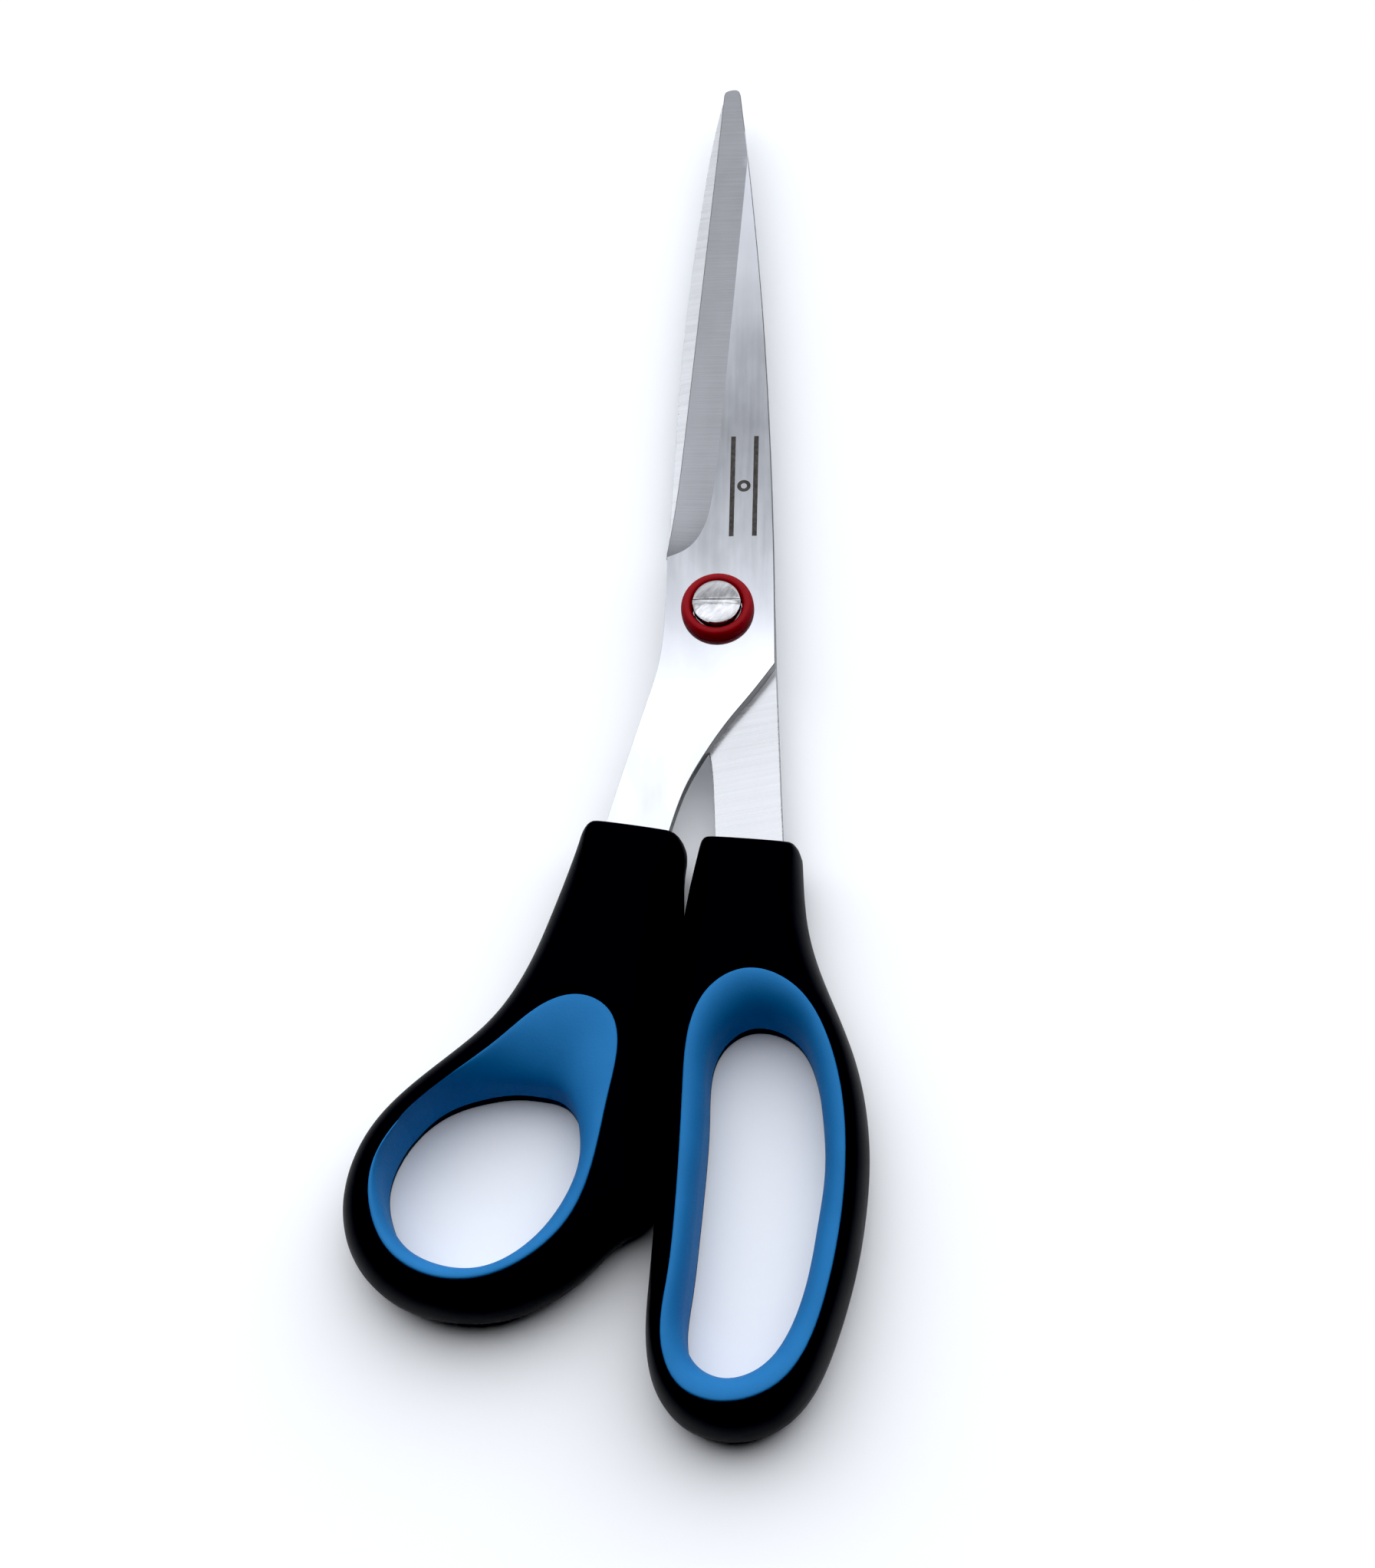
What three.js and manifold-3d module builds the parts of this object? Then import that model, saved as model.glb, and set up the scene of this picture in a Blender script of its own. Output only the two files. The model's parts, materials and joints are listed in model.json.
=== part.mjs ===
// Office scissors with moulded soft-grip handles, closed, lying flat.
// Millimetres, +Z up. Everything is drawn with the pivot axis at x = y = 0 and the tip towards +Y,
// and the finished group is then moved so that its origin is at the bottom centre of its own box.
import * as THREE from 'three';
import { mergeVertices } from 'three/addons/utils/BufferGeometryUtils.js';
import Module from 'manifold-3d';

const wasm = await Module();
wasm.setup();

// ---------------------------------------------------------------- driving dimensions

const HANDLE_THICKNESS = 12;
const COLLAR_THICKNESS = 10.6;   // the handles thin down towards the end that the blade enters
const COLLAR_TAPER_START = -62;  // y where that thinning starts
const COLLAR_END = -35;          // y where it ends
const EDGE_ROUNDING = 4;         // how far in from the outline a handle's side curves over
const COLLAR_EDGE = 1;           // the same at the collar's end

const BLADE_THICKNESS = 1.8;
const BLADE_GAP = 0.2;
const PART_GAP = 0.3;            // between a moulding and what sits in it
const RUNNING_GAP = 0.08;        // between the screw's shoulder and the blade that turns on it
const REST_GAP = 0.1;            // between a piece and the face that it rests on

const FACET_EDGE_LAND = 0.35;    // steel left at the cutting edge below the ground facet

const HEAD_RADIUS = 3.5;
const HEAD_TOP = 10.4;
const HEAD_HEIGHT = 1.8;
const SHOULDER_RADIUS = 2.5;
const THREAD_RADIUS = 2;
const SLOT_WIDTH = 0.9;
const SLOT_DEPTH = 0.6;
const RING_RADIUS = 5.3;
const RING_CREST_RADIUS = 4.7;
const RING_CREST = 9.9;
const WASHER_RADIUS = 3.4;
const NUT_FLANGE_RADIUS = 4.6;
const NUT_FLANGE_THICKNESS = 1.1;
const NUT_SLEEVE_RADIUS = 3.1;
const NUT_FLATS = 4.8;           // across the two flats that stop the nut turning in the back blade

const GRIP_FLOOR = 3.1;          // thickness of the black lip below each soft insert
const LIP_UNDERCUT = 0.35;       // how far that lip stands back from the insert's wall
const GRIP_TOP = 11.7;
const ROLL_DEPTH = 4.6;          // how far down the soft insert rolls before its wall is upright
const LOCK_HOLE_RADIUS = 1.6;

const ROUND_SIDES = 40;
const OUTLINE_POINTS = 96;
const POINTS_PER_KNOT = 4;
const CURVE_SEGMENTS = 5;

const MID = HANDLE_THICKNESS / 2;
const FRONT_BLADE_BOTTOM = MID + BLADE_GAP / 2;
const FRONT_BLADE_TOP = FRONT_BLADE_BOTTOM + BLADE_THICKNESS;
const BACK_BLADE_TOP = MID - BLADE_GAP / 2;
const BACK_BLADE_BOTTOM = BACK_BLADE_TOP - BLADE_THICKNESS;

// ---------------------------------------------------------------- solids and booleans

function solid(geometry) {
  const bare = geometry.clone();
  bare.deleteAttribute('normal');
  bare.deleteAttribute('uv');
  const merged = mergeVertices(bare, 1e-4);
  const index = merged.index.array;
  const triangles = [];
  for (let i = 0; i < index.length; i += 3) {
    const [a, b, c] = [index[i], index[i + 1], index[i + 2]];
    if (a !== b && b !== c && c !== a) triangles.push(a, b, c);
  }
  return new wasm.Manifold(new wasm.Mesh({
    numProp: 3,
    vertProperties: new Float32Array(merged.attributes.position.array),
    triVerts: new Uint32Array(triangles),
  }));
}

function geometryOf(manifold) {
  const mesh = manifold.getMesh();
  const geometry = new THREE.BufferGeometry();
  geometry.setAttribute('position', new THREE.BufferAttribute(new Float32Array(mesh.vertProperties), 3));
  geometry.setIndex(new THREE.BufferAttribute(new Uint32Array(mesh.triVerts), 1));
  geometry.computeVertexNormals();
  return geometry;
}

// Skins a list of rings that all have the same number of points, counter-clockwise seen from above.
// A closed list joins its last ring to its first, as on the inside of a loop; an open one gets flat ends.
function skin(rings, closed) {
  const count = rings[0].length;
  const positions = rings.flat().flatMap((p) => [p.x, p.y, p.z]);
  const index = [];
  const bands = closed ? rings.length : rings.length - 1;
  for (let band = 0; band < bands; band += 1) {
    const lower = band * count;
    const upper = ((band + 1) % rings.length) * count;
    for (let i = 0; i < count; i += 1) {
      const next = (i + 1) % count;
      index.push(lower + i, lower + next, upper + next, lower + i, upper + next, upper + i);
    }
  }
  if (!closed) {
    const top = (rings.length - 1) * count;
    for (const [a, b, c] of THREE.ShapeUtils.triangulateShape(rings[0], [])) index.push(c, b, a);
    for (const [a, b, c] of THREE.ShapeUtils.triangulateShape(rings.at(-1), [])) {
      index.push(top + a, top + b, top + c);
    }
  }
  const geometry = new THREE.BufferGeometry();
  geometry.setAttribute('position', new THREE.Float32BufferAttribute(positions, 3));
  geometry.setIndex(index);
  return geometry;
}

function extrude(shape, bottom, top) {
  const settings = { depth: top - bottom, bevelEnabled: false, curveSegments: CURVE_SEGMENTS };
  return solid(new THREE.ExtrudeGeometry(shape, settings).translate(0, 0, bottom));
}

function cylinder(radius, bottom, top, x = 0, y = 0) {
  const geometry = new THREE.CylinderGeometry(radius, radius, top - bottom, ROUND_SIDES);
  return solid(geometry.rotateX(Math.PI / 2).translate(x, y, (top + bottom) / 2));
}

function box(width, depth, height, x, y, z) {
  return solid(new THREE.BoxGeometry(width, depth, height).translate(x, y, z));
}

function turned(profile) {
  const points = profile.map(([radius, height]) => new THREE.Vector2(radius, height));
  return solid(new THREE.LatheGeometry(points, ROUND_SIDES).rotateX(Math.PI / 2));
}

// Half a turn about the long axis of the blades: what is true of the front blade's face becomes
// true of the back blade's rear face.
function toRearFace(manifold) {
  return manifold.translate([0, 0, -MID]).rotate([0, 180, 0]).translate([0, 0, MID]);
}

// ---------------------------------------------------------------- outlines

const vectors = (pairs) => pairs.map(([x, y]) => new THREE.Vector2(x, y));

// A smooth closed loop through a few points.
function loop(knots, count) {
  const curve = new THREE.CatmullRomCurve3(knots.map(([x, y]) => new THREE.Vector3(x, y, 0)), true, 'centripetal');
  return Array.from({ length: count }, (_, i) => {
    const p = curve.getPoint(i / count);
    return new THREE.Vector2(p.x, p.y);
  });
}

function counterClockwise(points) {
  return THREE.ShapeUtils.area(points) < 0 ? points.slice().reverse() : points;
}

// Unit normals that point out of a counter-clockwise outline.
function outwardNormals(points) {
  return points.map((_, i) => {
    const before = points.at(i - 1);
    const after = points[(i + 1) % points.length];
    return new THREE.Vector2(after.y - before.y, before.x - after.x).normalize();
  });
}

function grown(points, distance) {
  const outline = counterClockwise(points);
  const normals = outwardNormals(outline);
  return outline.map((p, i) => p.clone().addScaledVector(normals[i], distance));
}

// The radius of the largest circle that fits inside the outline and touches it at one of its points.
function roomInside(outline, normals, at) {
  let radius = Infinity;
  outline.forEach((other) => {
    const step = other.clone().sub(outline[at]);
    const inward = -step.dot(normals[at]);
    if (inward > 1e-6) radius = Math.min(radius, step.lengthSq() / (2 * inward));
  });
  return radius;
}

// The finger loop of either handle, seen from above: a spline round the loop from the inner corner of
// the collar to its outer corner, then the collar's end with its two rounded corners.
function handleOutline({ side, corners }) {
  const shape = new THREE.Shape();
  const [start, ...rest] = vectors(side);
  shape.moveTo(start.x, start.y);
  shape.splineThru(rest);
  corners.forEach(({ bend, end, next }) => {
    shape.quadraticCurveTo(bend[0], bend[1], end[0], end[1]);
    if (next) shape.lineTo(next[0], next[1]);
  });
  shape.closePath();
  const points = shape.getSpacedPoints(OUTLINE_POINTS);
  points.pop();
  return counterClockwise(points);
}

const THUMB_OUTLINE = {
  side: [
    [-3.6, -39.4], [-4.6, -47], [-5.4, -56], [-6.1, -65], [-6.6, -74], [-6.7, -81], [-6.5, -85.5],
    [-6.7, -91], [-7.9, -93.6], [-10.6, -95.4], [-14.2, -99], [-18, -102.4], [-22.3, -105],
    [-27, -106.6], [-32, -106.9], [-39, -105.5], [-45.2, -101.2], [-48.7, -94.6], [-48.8, -87],
    [-45, -78.4], [-37, -70.4], [-30, -63.7], [-25.3, -55.8], [-22.1, -47], [-19, -37.6],
  ],
  corners: [
    { bend: [-18.2, -34.2], end: [-15.9, -34.5], next: [-6.2, -35.9] },
    { bend: [-3.5, -36.2], end: [-3.6, -39.4] },
  ],
};

const FINGER_OUTLINE = {
  side: [
    [-1.85, -38.6], [-3.2, -45], [-4.6, -56], [-5.35, -65], [-5.6, -75], [-6, -84], [-6.55, -94],
    [-7.05, -103], [-7.1, -110.6], [-5.2, -117.6], [-0.9, -121.9], [4.9, -123.2], [10.4, -121.7],
    [14.9, -117.3], [18.3, -109.4], [20.8, -100], [22.2, -90], [22.2, -80], [20.2, -69.4],
    [16.4, -59.3], [13.7, -50.4], [12.75, -40.4],
  ],
  corners: [
    { bend: [12.6, -38.2], end: [10.4, -38], next: [0, -37.15] },
    { bend: [-1.6, -37.1], end: [-1.85, -38.6] },
  ],
};

// The visible edge of each soft insert and the opening inside it. The knots go clockwise from the top,
// and the two lists of a grip match knot for knot.
const THUMB_RIM = [
  [-17.5, -61.9], [-13.2, -64.2], [-11.8, -69.5], [-12.9, -77], [-14.4, -85.5], [-17.1, -93.5],
  [-21.8, -99], [-28.5, -102.5], [-36, -102.4], [-42, -98.5], [-44.8, -92], [-44.6, -86],
  [-41.5, -80.2], [-35.5, -74.3], [-28.5, -68.6], [-22.8, -63.6],
];
const THUMB_HOLE = [
  [-23.5, -74.4], [-20, -75.8], [-17.8, -78.6], [-16.9, -82.4], [-17.3, -87.2], [-19.7, -92.7],
  [-23.5, -97.3], [-29, -100.3], [-34.8, -100], [-39.7, -97.2], [-42.5, -92.4], [-43.4, -86.9],
  [-41.1, -80.5], [-36.6, -76.1], [-31.7, -74.1], [-27.2, -73.5],
];
const FINGER_RIM = [
  [6, -58.2], [12.2, -60.8], [16.4, -67.2], [18.9, -76.5], [19.5, -86], [18.9, -95], [17.3, -104],
  [14.7, -112.1], [10.4, -117.7], [3.6, -119.8], [-2.3, -117.4], [-4.8, -110.5], [-4.1, -102.5],
  [-3.4, -94.1], [-3, -84.5], [-2.8, -75.5], [-2.2, -67.2], [0.6, -60.9],
];
const FINGER_HOLE = [
  [6.6, -63.7], [11.8, -65.9], [14.7, -71.3], [16, -78.5], [16.6, -86.5], [15.9, -94.4], [14.6, -102],
  [12.1, -109.2], [8.6, -113.9], [3.8, -115.5], [-0.2, -113.4], [-1.8, -108.5], [-1.3, -101.8],
  [-0.6, -94.1], [0, -84.5], [0.1, -76.5], [0.5, -69.6], [2.6, -65.5],
];

// ---------------------------------------------------------------- blades

// The stretch of each tang inside its handle, corner by corner from the shoulder side.
const FRONT_TANG_END = [[-6.6, -37.2], [-10.7, -52.5], [-17.9, -50.6], [-15.9, -36.5]];
const BACK_TANG_END = [[0.4, -38], [1, -53], [9.2, -53.6], [10.1, -38]];
const FRONT_LOCK_HOLES = [[-11.9, -41], [-13.4, -46.8]];
const BACK_LOCK_HOLES = [[5.2, -42.8], [5.1, -48.6]];

function frontBladeShape() {
  const shape = new THREE.Shape();
  shape.moveTo(-1.2, 91.3);
  shape.quadraticCurveTo(-1.1, 92.4, -0.2, 92.4);
  shape.quadraticCurveTo(1.2, 92.4, 1.45, 91);
  shape.splineThru(vectors([[2.7, 80.6], [4.1, 67.5], [5.7, 50.1], [6.8, 34], [7.6, 19], [8.1, 6], [8.5, -9]]));
  shape.splineThru(vectors([[3, -16.3], [-0.2, -21.4], [-2.7, -25.1], [-4.6, -30], [-6.6, -37.2]]));
  FRONT_TANG_END.slice(1).forEach(([x, y]) => shape.lineTo(x, y));
  shape.splineThru(vectors([[-13.4, -27.2], [-10.8, -18], [-8.6, -9.8], [-7.8, -3], [-7.7, 9.5]]));
  shape.splineThru(vectors([[-7.15, 14.3], [-6.6, 19.4], [-6.1, 25]]));
  return shape;
}

function backBladeShape() {
  const shape = new THREE.Shape();
  shape.moveTo(1.2, 90.8);
  shape.quadraticCurveTo(1, 91.5, 0, 91.5);
  shape.quadraticCurveTo(-1.3, 91.5, -1.6, 90.3);
  shape.splineThru(vectors([[-3, 82], [-4.4, 70], [-5.9, 54.5], [-6.8, 39], [-7.3, 24], [-7.7, 10], [-7.8, -7.4]]));
  shape.splineThru(vectors([[-4.4, -14.4], [-1.5, -20.4], [-0.4, -25], [0.1, -31.9], [0.4, -38]]));
  BACK_TANG_END.slice(1).forEach(([x, y]) => shape.lineTo(x, y));
  shape.splineThru(vectors([[9.6, -29.6], [9.1, -19.9], [8.5, -8], [8.2, 0], [7.7, 9.5]]));
  shape.splineThru(vectors([[7.15, 14.3], [6.6, 19.4], [6.1, 25]]));
  return shape;
}

// What the grinding wheel takes off the front blade: everything above a plane that falls from the
// facet's inner border to the cutting edge, as far as the curved run-out near the pivot.
function facetCut() {
  const borderLow = new THREE.Vector3(-1.3, 18.5, FRONT_BLADE_TOP);
  const borderHigh = new THREE.Vector3(2.8, 78.5, FRONT_BLADE_TOP);
  const edgePoint = new THREE.Vector3(-6.1, 25, FRONT_BLADE_BOTTOM + FACET_EDGE_LAND);
  const along = borderHigh.clone().sub(borderLow).normalize();
  const normal = along.clone().cross(edgePoint.clone().sub(borderLow)).normalize();
  const across = normal.clone().cross(along);
  const [length, width, height] = [160, 40, 4];
  const slab = new THREE.BoxGeometry(length, width, height).translate(length / 2 - 20, 0, height / 2);
  slab.applyMatrix4(new THREE.Matrix4().makeBasis(along, across, normal).setPosition(borderLow));
  const reach = new THREE.Shape();
  reach.moveTo(14, 100);
  reach.lineTo(14, 18.5);
  reach.lineTo(-1.3, 18.5);
  reach.splineThru(vectors([[-2, 14.6], [-3.9, 11.2], [-7.8, 9.4]]));
  reach.lineTo(-14, 9.2);
  reach.lineTo(-14, 100);
  return solid(slab).intersect(extrude(reach, 0, HANDLE_THICKNESS));
}

function withHoles(blade, holes) {
  return holes.reduce(
    (left, [x, y]) => left.subtract(cylinder(LOCK_HOLE_RADIUS, 0, HANDLE_THICKNESS, x, y)),
    blade,
  );
}

function frontBlade() {
  const blank = extrude(frontBladeShape(), FRONT_BLADE_BOTTOM, FRONT_BLADE_TOP);
  const pivotHole = cylinder(SHOULDER_RADIUS + RUNNING_GAP, 0, HANDLE_THICKNESS);
  return withHoles(blank.subtract(facetCut()).subtract(pivotHole), FRONT_LOCK_HOLES);
}

function backBlade() {
  const blank = extrude(backBladeShape(), BACK_BLADE_BOTTOM, BACK_BLADE_TOP);
  return withHoles(blank.subtract(toRearFace(facetCut())).subtract(nutSleeve(PART_GAP)), BACK_LOCK_HOLES);
}

// ---------------------------------------------------------------- pivot

function pivotScrew() {
  const underHead = HEAD_TOP - HEAD_HEIGHT;
  const threadTop = BACK_BLADE_TOP - REST_GAP;
  const end = BACK_BLADE_BOTTOM - NUT_FLANGE_THICKNESS + PART_GAP;
  const body = turned([
    [0, end], [THREAD_RADIUS - 0.3, end], [THREAD_RADIUS, end + 0.3], [THREAD_RADIUS, threadTop],
    [SHOULDER_RADIUS, threadTop], [SHOULDER_RADIUS, underHead], [HEAD_RADIUS, underHead],
    [HEAD_RADIUS, HEAD_TOP - 0.2], [HEAD_RADIUS - 0.2, HEAD_TOP], [0, HEAD_TOP],
  ]);
  return body.subtract(box(3 * HEAD_RADIUS, SLOT_WIDTH, 2 * SLOT_DEPTH, 0, 0, HEAD_TOP));
}

function pivotRing() {
  const base = FRONT_BLADE_TOP + REST_GAP;
  const bore = HEAD_RADIUS + PART_GAP;
  return turned([
    [bore, base], [RING_RADIUS, base], [RING_RADIUS, base + 0.5], [RING_RADIUS - 0.15, base + 1.2],
    [RING_CREST_RADIUS, RING_CREST - 0.1], [RING_CREST_RADIUS - 0.25, RING_CREST],
    [RING_CREST_RADIUS - 0.5, RING_CREST - 0.1], [bore, RING_CREST - 0.6], [bore, base],
  ]);
}

function tensionWasher() {
  const bottom = FRONT_BLADE_TOP + REST_GAP;
  const top = HEAD_TOP - HEAD_HEIGHT - REST_GAP;
  const bore = SHOULDER_RADIUS + PART_GAP;
  return turned([[bore, bottom], [WASHER_RADIUS, bottom], [WASHER_RADIUS, top], [bore, top], [bore, bottom]]);
}

function nutSleeve(clearance) {
  const radius = NUT_SLEEVE_RADIUS + clearance;
  const flats = NUT_FLATS + 2 * clearance;
  const round = cylinder(radius, BACK_BLADE_BOTTOM - 1, BACK_BLADE_TOP + clearance - 2 * REST_GAP);
  return round.intersect(box(flats, 3 * radius, HANDLE_THICKNESS, 0, 0, MID));
}

function pivotNut() {
  const top = BACK_BLADE_BOTTOM - REST_GAP;
  const bottom = BACK_BLADE_BOTTOM - NUT_FLANGE_THICKNESS;
  const flange = turned([
    [0, bottom], [NUT_FLANGE_RADIUS - 0.5, bottom], [NUT_FLANGE_RADIUS, bottom + 0.5], [NUT_FLANGE_RADIUS, top],
    [0, top],
  ]);
  const sleeve = nutSleeve(0).subtract(cylinder(2 * NUT_FLANGE_RADIUS, -1, BACK_BLADE_BOTTOM - 0.5));
  return flange.add(sleeve).subtract(cylinder(THREAD_RADIUS + REST_GAP, 0, HANDLE_THICKNESS));
}

// ---------------------------------------------------------------- handles

// A slab with the handle's outline whose sides curve over in half an ellipse.
function pillow(outline, collarEndY) {
  const normals = outwardNormals(outline);
  const rounding = outline.map((p, i) => {
    const nearCollar = COLLAR_EDGE + 0.35 * Math.max(0, collarEndY - p.y);
    return Math.min(EDGE_ROUNDING, nearCollar, 0.85 * roomInside(outline, normals, i));
  });
  const steps = 7;
  const rings = [];
  for (let step = 0; step <= steps; step += 1) {
    const angle = Math.PI * (step / steps - 0.5);
    const inset = 1 - Math.cos(angle);
    const z = MID + MID * Math.sin(angle);
    rings.push(outline.map((p, i) => {
      const moved = p.clone().addScaledVector(normals[i], -rounding[i] * inset);
      return new THREE.Vector3(moved.x, moved.y, z);
    }));
  }
  return solid(skin(rings, false));
}

// The handle's side view: full thickness over the loop, thinner towards the collar's end.
function sideProfile() {
  const thin = (HANDLE_THICKNESS - COLLAR_THICKNESS) / 2;
  const profile = new THREE.Shape(vectors([
    [-200, 0], [COLLAR_TAPER_START, 0], [COLLAR_END, thin], [0, thin], [0, HANDLE_THICKNESS - thin],
    [COLLAR_END, HANDLE_THICKNESS - thin], [COLLAR_TAPER_START, HANDLE_THICKNESS], [-200, HANDLE_THICKNESS],
  ]));
  const length = 200;
  const geometry = new THREE.ExtrudeGeometry(profile, { depth: length, bevelEnabled: false });
  const alongX = new THREE.Matrix4().makeBasis(
    new THREE.Vector3(0, 1, 0),
    new THREE.Vector3(0, 0, 1),
    new THREE.Vector3(1, 0, 0),
  );
  return solid(geometry.applyMatrix4(alongX).translate(-length / 2, 0, 0));
}

// The pocket that a tang is moulded into, open at the collar, with pegs that fill the locking holes.
function tangPocket(tangEnd, holes, bladeBottom) {
  const mouth = [tangEnd[3], tangEnd[0]].map(([x, y]) => [x, y + 8]);
  const outline = vectors([mouth[1], ...tangEnd.slice(0, 4), mouth[0]]);
  const shape = new THREE.Shape(grown(outline, 1.5 * PART_GAP));
  const pocket = extrude(shape, bladeBottom - PART_GAP, bladeBottom + BLADE_THICKNESS + PART_GAP);
  return holes.reduce(
    (left, [x, y]) => left.subtract(cylinder(LOCK_HOLE_RADIUS - PART_GAP, 0, HANDLE_THICKNESS, x, y)),
    pocket,
  );
}

function handle({ outline, collarEndY, rim, hole, tangEnd, holes, bladeBottom }) {
  const insert = new THREE.Shape(grown(loop(rim, POINTS_PER_KNOT * rim.length), PART_GAP));
  const opening = new THREE.Shape(grown(loop(hole, POINTS_PER_KNOT * hole.length), LIP_UNDERCUT));
  return pillow(handleOutline(outline), collarEndY)
    .intersect(sideProfile())
    .subtract(extrude(insert, GRIP_FLOOR, HANDLE_THICKNESS + 1))
    .subtract(extrude(opening, -1, HANDLE_THICKNESS))
    .subtract(tangPocket(tangEnd, holes, bladeBottom));
}

// The soft insert: an upright outer wall, a top that rolls over in a quarter ellipse into the opening,
// and an upright inner wall.
function grip({ rim, hole }) {
  const count = POINTS_PER_KNOT * rim.length;
  const outer = loop(rim, count);
  const inner = loop(hole, count);
  const bottom = GRIP_FLOOR + PART_GAP;
  const ring = (share, z) => outer.map((p, i) => {
    const q = p.clone().lerp(inner[i], share);
    return new THREE.Vector3(q.x, q.y, z);
  }).reverse();
  const rings = [ring(0, bottom), ring(0, GRIP_TOP)];
  const steps = 6;
  for (let step = 1; step <= steps; step += 1) {
    const angle = (Math.PI / 2) * (step / steps);
    rings.push(ring(Math.sin(angle), GRIP_TOP - ROLL_DEPTH * (1 - Math.cos(angle))));
  }
  rings.push(ring(1, bottom));
  return solid(skin(rings, true));
}

// ---------------------------------------------------------------- assembly

const MATERIALS = {
  steel: new THREE.MeshStandardMaterial({ color: 0xc4c6cc, roughness: 0.35, metalness: 1 }),
  brightSteel: new THREE.MeshStandardMaterial({ color: 0xdcdcdf, roughness: 0.2, metalness: 1 }),
  blackPlastic: new THREE.MeshStandardMaterial({ color: 0x0b0b10, roughness: 0.5, metalness: 0 }),
  bluePlastic: new THREE.MeshStandardMaterial({ color: 0x3b86c0, roughness: 0.7, metalness: 0 }),
  redPlastic: new THREE.MeshStandardMaterial({ color: 0x9c2226, roughness: 0.45, metalness: 0 }),
};

const THUMB = {
  outline: THUMB_OUTLINE,
  collarEndY: -35,
  rim: THUMB_RIM,
  hole: THUMB_HOLE,
  tangEnd: FRONT_TANG_END,
  holes: FRONT_LOCK_HOLES,
  bladeBottom: FRONT_BLADE_BOTTOM,
};
const FINGER = {
  outline: FINGER_OUTLINE,
  collarEndY: -37.5,
  rim: FINGER_RIM,
  hole: FINGER_HOLE,
  tangEnd: BACK_TANG_END,
  holes: BACK_LOCK_HOLES,
  bladeBottom: BACK_BLADE_BOTTOM,
};

function piece(name, manifold, material) {
  const mesh = new THREE.Mesh(geometryOf(manifold), material);
  mesh.name = name;
  return mesh;
}

const frontHalf = new THREE.Group();
frontHalf.add(
  piece('front_blade', frontBlade(), MATERIALS.steel),
  piece('thumb_handle', handle(THUMB), MATERIALS.blackPlastic),
  piece('thumb_grip', grip(THUMB), MATERIALS.bluePlastic),
);

const backHalf = new THREE.Group();
backHalf.add(
  piece('back_blade', backBlade(), MATERIALS.steel),
  piece('finger_handle', handle(FINGER), MATERIALS.blackPlastic),
  piece('finger_grip', grip(FINGER), MATERIALS.bluePlastic),
  piece('pivot_screw', pivotScrew(), MATERIALS.brightSteel),
  piece('pivot_ring', pivotRing(), MATERIALS.redPlastic),
  piece('tension_washer', tensionWasher(), MATERIALS.brightSteel),
  piece('pivot_nut', pivotNut(), MATERIALS.brightSteel),
);

const scissors = new THREE.Group();
scissors.add(frontHalf, backHalf);
const bounds = new THREE.Box3().setFromObject(scissors);
const middle = bounds.getCenter(new THREE.Vector3());
scissors.position.set(-middle.x, -middle.y, -bounds.min.z);

export default scissors;
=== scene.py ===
import json
import math

import bmesh
import bpy
import numpy as np
from mathutils import Matrix, Vector
from mathutils.geometry import delaunay_2d_cdt


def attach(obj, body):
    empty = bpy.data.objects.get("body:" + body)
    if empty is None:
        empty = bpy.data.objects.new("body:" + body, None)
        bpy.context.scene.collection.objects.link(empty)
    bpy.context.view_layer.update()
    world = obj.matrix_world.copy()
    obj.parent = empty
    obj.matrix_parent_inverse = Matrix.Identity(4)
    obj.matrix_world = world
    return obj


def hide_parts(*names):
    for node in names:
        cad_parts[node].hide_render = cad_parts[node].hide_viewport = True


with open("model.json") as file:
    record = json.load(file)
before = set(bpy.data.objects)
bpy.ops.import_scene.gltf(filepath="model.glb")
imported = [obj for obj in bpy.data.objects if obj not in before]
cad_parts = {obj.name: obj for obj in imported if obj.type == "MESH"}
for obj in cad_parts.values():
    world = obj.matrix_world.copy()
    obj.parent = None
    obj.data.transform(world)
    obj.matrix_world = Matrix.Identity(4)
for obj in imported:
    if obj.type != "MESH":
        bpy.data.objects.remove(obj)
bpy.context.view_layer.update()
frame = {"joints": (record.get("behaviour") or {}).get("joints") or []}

PIVOT = Vector(frame["joints"][0]["pos_m"])
MM = 0.001

# ---------------------------------------------------------------- sizes, in millimetres

HANDLE_THICKNESS = 12.0
MID = HANDLE_THICKNESS / 2
COLLAR_THICKNESS = 10.6
COLLAR_TAPER = (-62.0, -35.0)    # the handles thin down between these two y
EDGE_ROUNDING = 4.0
COLLAR_EDGE = 1.0                # edge rounding at the collar, where the blade enters
COLLAR_EASE = 0.35               # growth of that rounding for each millimetre away from the collar
ROOM_SHARE = 0.8                 # most of the room inside an outline that its rounding may take
PARTING_RIDGE = 0.05             # mould parting line round the middle of each handle
GAP_Y = (-93.0, -39.0)           # between these two y the closed handles lie side by side
GAP_FADE = (14.0, 8.0)           # lengths over which the shapes beside the gap fade in at its two ends
GAP_ROUNDING = 1.0               # of the handles' lower edges there
STOP_RIB = 0.7                   # low on the thumb handle, along that gap
SEAM = 0.06                      # between a black handle and its blue insert
SEAM_EDGE = 0.22                 # rounding of the black edge there
TOE_HEIGHT = 0.5                 # each handle's bottom edge, level with the insert's wall
# The raised black edge on the side towards the blades, where the hole's wall lies in shade, is partly a real
# lip and partly a painted shade band.
TOE_RISE = 1.3                   # how much higher that edge is on the side towards the blades
TOE_ROUNDING = 0.2
LIP_TOP = 3.1                    # black lip behind the insert's skirt
LIP_BACK = 0.4                   # how far that lip stands back from the insert's wall

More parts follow.
